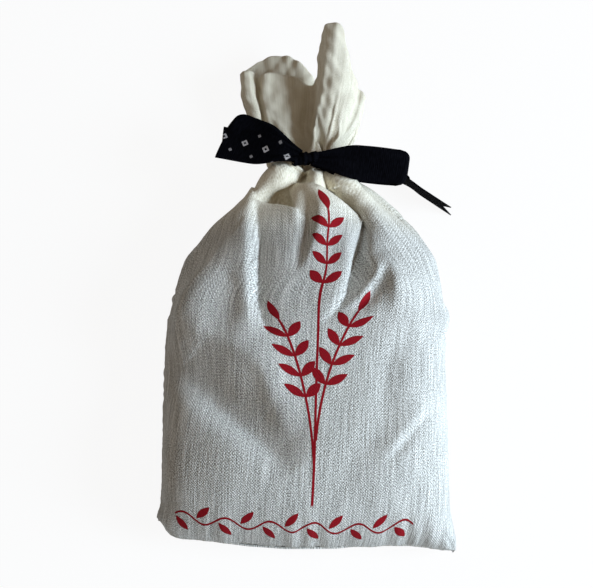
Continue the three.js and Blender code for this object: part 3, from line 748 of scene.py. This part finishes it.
cloth = bag.points - np.array([0, ORIGIN_Y, 0])
place = np.stack([bag.angle / np.pi * PANEL_WIDTH - PANEL_WIDTH / 2, bag.length], -1) / UV_SCALE
half_round = bag.around // 2
front_columns = np.arange(half_round + 1)
back_columns = (np.arange(half_round + 1) + half_round) % bag.around
back_place = place[:, back_columns].copy()
back_place[:, -1, 0] += 2 * PANEL_WIDTH / UV_SCALE
for name, columns, uv, printed in (
    ("front_panel_cloth", front_columns, place[:, front_columns], True),
    ("back_panel_cloth", back_columns, back_place, False),
):
    panel = sheet_object(name, cloth[:, columns] * MM, uv)
    panel.data.materials.append(calico(name + "_calico", printed))
    thicken(panel, CLOTH, -1)
    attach(panel, "bag")
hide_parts("front_panel")
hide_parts("back_panel")

# Filling
# Dried lavender buds, poured loose into the bag before the neck was tied. They reach up to the shoulders
# and press the cloth out.
FILL_ROWS = 60
FILL_SIDES = 96
FILL_CLEARANCE = 1.2
FILL_INSET = 0.8
CELLS = 64
CELL = 2


def with_middles(rings):
    """The points of all the rings, then the middles of the first ring and of the last."""
    ends = [rings[0].mean(0)[None], rings[-1].mean(0)[None]]
    return np.concatenate([rings.reshape(-1, rings.shape[-1]), *ends])


def closed_tube(name, rings, uv):
    """Rings of points in metres, joined round and closed at both ends."""
    rows, sides = rings.shape[:2]
    number = np.arange(rows * sides).reshape(rows, sides)
    after = np.roll(number, -1, 1)
    quads = np.stack([number[:-1], number[1:], after[1:], after[:-1]], -1).reshape(-1, 4)
    first, last = rows * sides, rows * sides + 1
    caps = [(first, a, b) for a, b in zip(number[0].tolist(), after[0].tolist())]
    caps += [(last, b, a) for a, b in zip(number[-1].tolist(), after[-1].tolist())]
    return mesh_object(name, with_middles(rings), quads.tolist() + caps, with_middles(uv))


def cell_of(x, y):
    """The cell of a coarse map of the bag that a point is over."""
    column = np.clip(x / CELL + CELLS / 2, 0, CELLS - 1)
    return column.astype(int), np.clip(y / CELL, 0, CELLS - 1).astype(int)


# Lowest height of the front over each cell of the bag and the cells round it
lowest = np.full((CELLS, CELLS), 99.0)
front_x, front_y, front_z = bag.points[:, 1:half_round].reshape(-1, 3).T
np.minimum.at(lowest, cell_of(front_x, front_y), front_z)
lowest = np.min([np.roll(lowest, (a, b), (0, 1)) for a in (-1, 0, 1) for b in (-1, 0, 1)], axis=0)

fill_y = 3 + 118 * (0.5 - 0.5 * np.cos(np.pi * (np.arange(FILL_ROWS) + 0.5) / FILL_ROWS))
fill_angle = 2 * np.pi * np.arange(FILL_SIDES) / FILL_SIDES
fill_angle, fill_y = np.meshgrid(fill_angle, fill_y)
turn, rise = np.cos(fill_angle), np.sin(fill_angle)
fill_x = (fill_half(fill_y)[2] - FILL_CLEARANCE - FILL_INSET) * np.sign(turn) * np.abs(turn) ** 0.8
grain = 0.35 * np.sin(2.9 * fill_x + 1.3 * fill_y) * np.sin(2.3 * fill_y - 0.7 * fill_x)
raised = lifted(fill_x, fill_y, FILL_INSET)
top = np.minimum(fill_top(fill_x, fill_y) - FILL_INSET, lowest[cell_of(fill_x, raised)])
top = np.maximum(top - 6 * ease(70, 95, fill_y), 11.5) - FILL_CLEARANCE
bottom = np.minimum(fill_bottom(fill_x, fill_y), 11.0) + FILL_CLEARANCE
bottom = np.minimum(bottom, top - 0.2)
edge = np.where(rise < -1e-6, bottom, 0.5 * (top + bottom))
fill_z = np.where(rise > 1e-6, top, edge)
fill_points = np.stack([fill_x, raised - ORIGIN_Y, fill_z + 0.3 * grain], -1) * MM
filling = closed_tube("lavender_buds", fill_points, np.stack([fill_x, fill_y], -1) / UV_SCALE)
material, shader, s = new_material("dried_lavender")
spot = s.node("ShaderNodeTexCoord", output=3)
buds = s.node("ShaderNodeTexVoronoi", {"feature": "F1"}, {"Vector": spot, "Scale": 420.0})
tint = s.noise(spot, 300.0, 3.0)
link(tint.mix(colour("#5b5570"), colour("#8a8f78")), shader, "Base Color")
add_bump(s, shader, 0.8, 0.0012, 1 - buds)
shader.inputs["Roughness"].default_value = 1.0
filling.data.materials.append(material)
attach(filling, "bag")
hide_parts("lavender_filling")

# Seams and hems
# Cotton thread in short stitches: along both side seams, along the bottom seam, and round the hem of the
# mouth on each panel.
STITCH = 2.4
STITCH_SHARE = 0.72
THREAD = 0.36
HEM = 7.0
SEAM_SHARE = 0.70


def stitches(name, line, outward, node):
    """Short rounded stitches along a line of points in millimetres, on the side that outward gives."""
    rings, sides = 7, 8
    run = run_length(line)
    count = int(run[-1] / STITCH)
    step = np.arange(rings) / (rings - 1)
    middle = (np.arange(count) + 0.5) * run[-1] / count
    at = middle[:, None] + STITCH * STITCH_SHARE * (step - 0.5)
    centre = np.stack([np.interp(at, run, line[:, axis]) for axis in range(3)], -1)
    out = np.stack([np.interp(at, run, outward[:, axis]) for axis in range(3)], -1)
    forward = centre[:, -1:] - centre[:, :1]
    forward /= np.linalg.norm(forward, axis=-1, keepdims=True) + 1e-9
    side = np.cross(forward, out)
    side /= np.linalg.norm(side, axis=-1, keepdims=True) + 1e-9
    bow = np.sin(np.pi * step)
    radius = THREAD / 2 * np.clip(0.25 + 1.2 * bow, 0, 1)
    centre = centre + out * (THREAD * (0.55 * bow - 0.75))[:, None]
    spin = 2 * np.pi * np.arange(sides)[:, None] / sides
    wheel = np.cos(spin) * side[:, :, None] + np.sin(spin) * out[:, :, None]
    points = centre[:, :, None] + radius[:, None, None] * wheel
    number = np.arange(rings * sides).reshape(rings, sides)
    after = np.roll(number, -1, 1)
    quads = np.stack([number[:-1], after[:-1], after[1:], number[1:]], -1).reshape(-1, 4)
    stitch = quads.tolist() + [number[0, ::-1].tolist(), number[-1].tolist()]
    faces = [[corner + first for corner in face] for first in range(0, count * number.size, number.size)
             for face in stitch]
    made = mesh_object(name, points.reshape(-1, 3) * MM, faces)
    made.data.materials.append(thread_cotton)
    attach(made, "bag")
    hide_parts(node)


thread_cotton, shader, s = new_material("thread_cotton")
spot = s.node("ShaderNodeTexCoord", output=3)
twist = s.noise(spot, 2600.0, 2.0)
link(twist.mix(colour("#d9d2c2"), colour("#efe9dc")), shader, "Base Color")
add_bump(s, shader, 0.5, 0.0001, twist)
shader.inputs["Roughness"].default_value = 0.8

normal = bag.normals()
seam_rows = slice(3, int(SEAM_SHARE * bag.rows))
for side, column in (("right", 0), ("left", half_round)):
    line, outward = cloth[seam_rows, column], normal[seam_rows, column]
    stitches(side + "_seam_stitches", line, outward, side + "_seam_thread")
downward = np.tile([0.0, -1.0, 0.0], (half_round - 5, 1))
stitches("bottom_seam_stitches", cloth[0, 3:half_round - 2], downward, "bottom_seam_thread")
hem_row = bag.rows - int(round(HEM / bag.dv.mean()))
for side, columns in (("front", front_columns[4:-4]), ("back", back_columns[4:-4])):
    line, outward = cloth[hem_row, columns], normal[hem_row, columns]
    stitches(side + "_hem_stitches", line, outward, side + "_hem_thread")

# Ribbon round the neck, and the knot
# One turn of black half-inch ribbon, drawn tight so that it bunches into a narrow band of lengthwise folds.
# Over the middle of the bow the ribbon crosses in one short, tight turn with deep folds.
RIBBON_WIDTH = 13.0
RIBBON = 0.35
TIE = Vector((0, TIE_Y - ORIGIN_Y, NECK_Z))
WRAP_HALF = (10.9, 9.3)
WRAP_WIDTH = 4.4
WRAP_RADIUS = 11.5
KNOT_PLACE = (0.0, TIE.y, 29.6)
KNOT_HALF = (4.4, 2.2, 2.6)
KNOT_RADIUS = 2.8
LOZENGE_STEP = 8.4
LOZENGE_U = 1.6


def ribbon_cloth(name, patterned):
    """Dull black ribbon with a fine rib. The patterned face has pale lozenges, with dots between them."""
    material, shader, s = new_material(name)
    u, v = cloth_place(s)
    rib = (v * 9.0).sin()
    yarn = (u * 12.0).sin()
    tone = s.noise(s.point(u * 0.4, v * 2.0), 1.0, 3.0, 0.6)
    base = tone.between(0.3, 0.75).mix(colour("#040406"), colour("#0d0d12"))
    if patterned:
        lozenge_v = abs((v / LOZENGE_STEP + 0.8).fraction() - 0.5) * LOZENGE_STEP
        dot_v = abs((v / LOZENGE_STEP + 0.3).fraction() - 0.5) * LOZENGE_STEP
        lozenge = lozenge_v + abs(u - LOZENGE_U)
        ring = lozenge.between(1.5, 1.35) * lozenge.between(0.5, 0.65)
        dot = (dot_v + abs(abs(u - LOZENGE_U) - 4.2)).between(0.85, 0.65)
        base = (ring.most(dot * 0.55) * tone.between(0.1, 0.45)).mix(base, colour("#a9a3a3"))
    link(base, shader, "Base Color")
    add_bump(s, shader, 0.5, 0.00008, 0.6 * rib + 0.4 * yarn + tone)
    shader.inputs["Roughness"].default_value = 0.8
    shader.inputs["Specular IOR Level"].default_value = 0.01
    return material


ribbon_plain = ribbon_cloth("ribbon_plain", False)
ribbon_lozenges = ribbon_cloth("ribbon_lozenges", True)


def ribbon_piece(name, points, uv, face, node):
    """A ribbon of the given material on its face and plain on its back."""
    made = sheet_object(name, points, uv)
    made.data.materials.append(face)
    made.data.materials.append(ribbon_plain)
    thick = thicken(made, RIBBON, 0)
    thick.material_offset = 1
    thick.material_offset_rim = 1
    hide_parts(node)
    return made


spin, share = np.meshgrid(2 * np.pi * np.arange(65) / 64, np.linspace(-1, 1, 49), indexing="ij")
belly = 1 - 0.22 * np.abs(share) ** 3
fold = 0.24 * np.cos(2.3 * np.pi * share + 1.4 * np.sin(spin)) + 0.12 * np.cos(5 * np.pi * share - 2 * spin)
knot_points = np.stack([
    KNOT_PLACE[0] + KNOT_HALF[0] * share + 0.6 * np.sin(spin),
    KNOT_PLACE[1] + (KNOT_HALF[1] * belly + fold) * np.cos(spin) + 0.7 * share,
    KNOT_PLACE[2] + (KNOT_HALF[2] * belly + fold) * np.sin(spin),
], -1) * MM
knot_uv = np.stack([share * RIBBON_WIDTH / 2 + 2.5, spin * KNOT_RADIUS], -1) / UV_SCALE
knot = sheet_object("ribbon_knot_turn", knot_points, knot_uv)
knot.data.materials.append(ribbon_plain)
thicken(knot, RIBBON, -1)
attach(knot, "bag")
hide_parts("ribbon_knot")

turn, share = np.meshgrid(2 * np.pi * np.arange(121) / 120, np.linspace(-1, 1, 41), indexing="ij")
ridge = 0.75 * np.cos(3.5 * np.pi * share + 0.5 * np.sin(2 * turn)) * (1 - 0.25 * share ** 2)
ridge = ridge - 2.5 * np.clip(np.abs(share) - 0.8, 0, 1)
sway = 0.5 * np.sin(turn + 0.4) + 0.25 * np.sin(3 * turn)
wrap_points = np.stack([
    TIE.x + (WRAP_HALF[0] + ridge) * np.cos(turn),
    TIE.y + 2.0 + share * WRAP_WIDTH / 2 * (1 + 0.1 * np.sin(2 * turn + 1)) + sway,
    TIE.z + (WRAP_HALF[1] + ridge) * np.sin(turn),
], -1) * MM
wrap_uv = np.stack([share * RIBBON_WIDTH / 2, turn * WRAP_RADIUS], -1) / UV_SCALE
wrap = ribbon_piece("ribbon_neck_turn", wrap_points, wrap_uv, ribbon_plain, "ribbon_neck_wrap")
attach(wrap, "bag")

# Bow loops
# Each loop runs out from the knot, turns over in a soft fold and comes back underneath. The ribbon is
# pleated where the knot pinches it, and only its plain back shows.
PINCH_LENGTH = 19.0
PINCH_WIDTH = 4.2
LOOP_OPENING = 3.2
LOOP_START = 2.2


def bow_place(heading, droop, z):
    turned = Matrix.Rotation(math.radians(heading), 4, "Z") @ Matrix.Rotation(math.radians(droop), 4, "Y")
    return Matrix.Translation((KNOT_PLACE[0], KNOT_PLACE[1], z)) @ turned


def put(place, x, y, z):
    """Points in millimetres, moved to their place on the bow and turned to metres."""
    local = np.stack([x, y, z, np.ones_like(x)], -1)
    return (local @ np.array(place).T)[..., :3] * MM


def pinched(distance):
    """Width of the ribbon at a distance from the knot."""
    return PINCH_WIDTH + (RIBBON_WIDTH - PINCH_WIDTH) * ease(0, PINCH_LENGTH, distance)


def bow_loop(name, length, heading, droop, z, slant, tilt, node):
    """A loop that heads and droops by degrees. slant shears its end, and tilt rolls it about its run."""
    half = LOOP_OPENING / 2
    straight = length - half
    ahead, back = np.linspace(LOOP_START, straight, 40), np.linspace(straight, LOOP_START, 40)
    run = np.concatenate([ahead[:-1], np.full(17, straight), back[1:]])
    turn = np.concatenate([np.zeros(39), np.linspace(0, np.pi, 17), np.full(39, np.pi)])
    steps = np.concatenate([[0], np.cumsum(np.hypot(np.diff(run), half * np.diff(turn)))])
    side = np.linspace(-1, 1, 33)
    run, across = np.meshgrid(run, side, indexing="ij")
    turn = turn[:, None] + 0 * across
    steps = steps[:, None] + 0 * across
    x = run + half * np.sin(turn)
    open_by = half * (0.35 + 0.65 * ease(0, PINCH_LENGTH, run))
    crease = (1 - ease(3, PINCH_LENGTH + 4, run)) * 0.55 * np.cos(2.5 * np.pi * across)
    cup = 0.9 * (across ** 2 - 0.4) * ease(6, length, run)
    wave = 0.5 * np.sin(0.24 * run + 2.2 * across) * ease(5, 16, run)
    y = across * pinched(x) / 2
    up = open_by * np.cos(turn) + crease - cup + wave
    roll = math.radians(tilt) * ease(4, 20, x)
    y, up = y * np.cos(roll) - up * np.sin(roll), y * np.sin(roll) + up * np.cos(roll)
    x = x + slant * y * ease(8, length, x)
    corner = np.clip((np.abs(across) - 0.55) / 0.45, 0, 1)
    x = x - 3.0 * (1 - np.sqrt(1 - corner ** 2)) * ease(length - 9, length, x)
    points = put(bow_place(heading, droop, z), x, y, up)
    uv = np.stack([across * RIBBON_WIDTH / 2, steps], -1) / UV_SCALE
    return ribbon_piece(name, points, uv, ribbon_plain, node)


left_loop = bow_loop("ribbon_left_bow_loop", 31.5, 152, 6, 29.6, 0.06, 0, "ribbon_left_loop")
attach(left_loop, "left_loop")
right_loop = bow_loop("ribbon_right_bow_loop", 38.0, -4, 4, 29.6, 0.08, 8, "ribbon_right_loop")
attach(right_loop, "right_loop")

# Bow ends
# The left end lies on its loop with its lozenges up, and its cut is nearly straight. The right one drops
# behind its loop, stands on its edge on the table and is cut to a swallow tail.
LEFT_END_PLACE = bow_place(167, 7, 31.4)
LEFT_END_START = 2.4
LEFT_END_LENGTH = 32.5
LEFT_END_SKEW = math.radians(9)
LEFT_CUT = 1.2
RIGHT_CUT = 4.0
RIGHT_END_ROLL = np.pi / 2 + 0.18
RIGHT_END_LOW = 0.4


def swallow_tail(across, depth):
    """How far the cut end stands back from its two tips."""
    return -depth * (1 - np.abs(across))


run, across = np.meshgrid(np.linspace(0, 1, 49), np.linspace(-1, 1, 33), indexing="ij")
cut = LEFT_END_LENGTH + swallow_tail(across, LEFT_CUT)
x = LEFT_END_START + (cut - LEFT_END_START) * run
y = across * pinched(x) / 2
crease = (1 - ease(3, PINCH_LENGTH + 3, x)) * 0.5 * np.cos(2.5 * np.pi * across + 0.6)
droop = 0.9 * across ** 2 * ease(8, LEFT_END_LENGTH, x)
z = crease + 1.6 * ease(2, 10, x) - droop + 0.5 * np.sin(0.2 * x + across)
points = put(LEFT_END_PLACE, x, y, z)
skew_cos, skew_sin = math.cos(LEFT_END_SKEW), math.sin(LEFT_END_SKEW)
uv = np.stack([y * skew_cos + x * skew_sin - 1.0, x * skew_cos - y * skew_sin], -1) / UV_SCALE
left_end = ribbon_piece("ribbon_left_bow_end", points, uv, ribbon_lozenges, "ribbon_left_end")
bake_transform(left_end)

# Points that the middle of the right end runs through
END_POINTS = [(4.0, 82.1, 25.6), (13.0, 82.5, 23.4), (25.0, 82.9, 16.4), (37.2, 83.2, 7.3),
              (45.4, 77.4, 7.0), (55.4, 70.2, 7.0)]


def smooth_run(knots, count):
    """Points along a smooth curve through the knots."""
    knots = np.array(knots, float)
    padded = np.vstack([2 * knots[0] - knots[1], knots, 2 * knots[-1] - knots[-2]])
    t = np.linspace(0, len(knots) - 1, count)
    i = np.minimum(t.astype(int), len(knots) - 2)
    f = (t - i)[:, None]
    a, b, c, d = (padded[i + k] for k in range(4))
    square, cube = 2 * a - 5 * b + 4 * c - d, 3 * b - a - 3 * c + d
    return 0.5 * (2 * b + (c - a) * f + square * f ** 2 + cube * f ** 3)


path = smooth_run(END_POINTS, 81)
forward = np.gradient(path, axis=0)
forward /= np.linalg.norm(forward, axis=1, keepdims=True)
steps = run_length(path)
level = np.stack([-forward[:, 1], forward[:, 0], 0 * steps], -1)
level /= np.linalg.norm(level, axis=1, keepdims=True)
upright = np.cross(forward, level)
roll = RIGHT_END_ROLL * ease(0.12, 0.5, steps / steps[-1])
side = level * np.cos(roll)[:, None] + upright * np.sin(roll)[:, None]
across = np.linspace(-1, 1, 33)
width = pinched(steps)
points = path[:, None, :] + 0.5 * width[:, None, None] * across[None, :, None] * side[:, None, :]
tail = swallow_tail(across, RIGHT_CUT)[None, :] * ease(steps[-1] - 9, steps[-1], steps)[:, None]
points = points + tail[..., None] * forward[:, None, :]
points[..., 2] = np.maximum(points[..., 2], RIGHT_END_LOW)
uv = np.stack(np.broadcast_arrays(across[None, :] * RIBBON_WIDTH / 2, steps[:, None]), -1) / UV_SCALE
right_end = ribbon_piece("ribbon_right_bow_end", points * MM, uv, ribbon_plain, "ribbon_right_end")
tuple(path[8] * MM)
tuple(path[44] * MM)
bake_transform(right_end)

# Stage
# A white table top, one large soft window light from the right, and dim warm room light.
# The camera looks down on the bag from the foot end.
TABLE_HALF = 2.0
WINDOW_PLACE = Vector((0.70, -0.12, 0.39))
WINDOW_TARGET = Vector((0, 0.03, 0.01))
WINDOW_SIZE = 0.4
WINDOW_POWER = 11.6
WINDOW_TINT = (0.69, 0.84, 0.98)
ROOM_TINT = (1, 0.88, 0.75, 1)
ROOM_STRENGTH = 0.24
CAMERA_TARGET = Vector((-0.0031, 0.0331, 0.020))
CAMERA_ELEVATION = math.radians(72)
CAMERA_DISTANCE = 0.5
CAMERA_LENS = 84
corners = np.array([[[-1, -1, 0], [1, -1, 0]], [[-1, 1, 0], [1, 1, 0]]]) * TABLE_HALF
floor = sheet_object("table", corners, np.zeros((2, 2, 2)))
material, shader, s = new_material("white_table")
shader.inputs["Base Color"].default_value = colour("#f4f4f4")
shader.inputs["Roughness"].default_value = 0.9
rays = s.node("ShaderNodeLightPath")
glow = s.node("ShaderNodeEmission", None, {"Color": (1, 1, 1, 1), "Strength": 1.0})
lit = Socket(s.tree, shader.outputs[0])
straight = rays.most(Socket(s.tree, rays.socket.node.outputs["Is Glossy Ray"]))
straight = straight.most(Socket(s.tree, rays.socket.node.outputs["Is Transmission Ray"]))
seen = s.node("ShaderNodeMixShader", None, {0: 0.92 * straight, 1: lit, 2: glow})
s.tree.links.new(seen.socket, s.tree.nodes["Material Output"].inputs["Surface"])
floor.data.materials.append(material)

lamp = bpy.data.lights.new("window", "AREA")
lamp.size = WINDOW_SIZE
lamp.energy = WINDOW_POWER
lamp.color = WINDOW_TINT
window = bpy.data.objects.new("window", lamp)
window.location = WINDOW_PLACE
window.rotation_euler = (WINDOW_TARGET - WINDOW_PLACE).to_track_quat("-Z", "Y").to_euler()
bpy.context.collection.objects.link(window)
world = bpy.data.worlds.new("room")
bpy.context.scene.world = world
world.use_nodes = True
world.node_tree.nodes["Background"].inputs[0].default_value = ROOM_TINT
world.node_tree.nodes["Background"].inputs[1].default_value = ROOM_STRENGTH
bpy.context.scene.view_settings.view_transform = "Standard"

lens = bpy.data.cameras.new("camera")
lens.lens = CAMERA_LENS
camera = bpy.data.objects.new("camera", lens)
from_target = Vector((0, -math.cos(CAMERA_ELEVATION), math.sin(CAMERA_ELEVATION)))
camera.location = CAMERA_TARGET + from_target * CAMERA_DISTANCE
camera.rotation_euler = (CAMERA_TARGET - camera.location).to_track_quat("-Z", "Y").to_euler()
bpy.context.collection.objects.link(camera)
bpy.context.scene.camera = camera
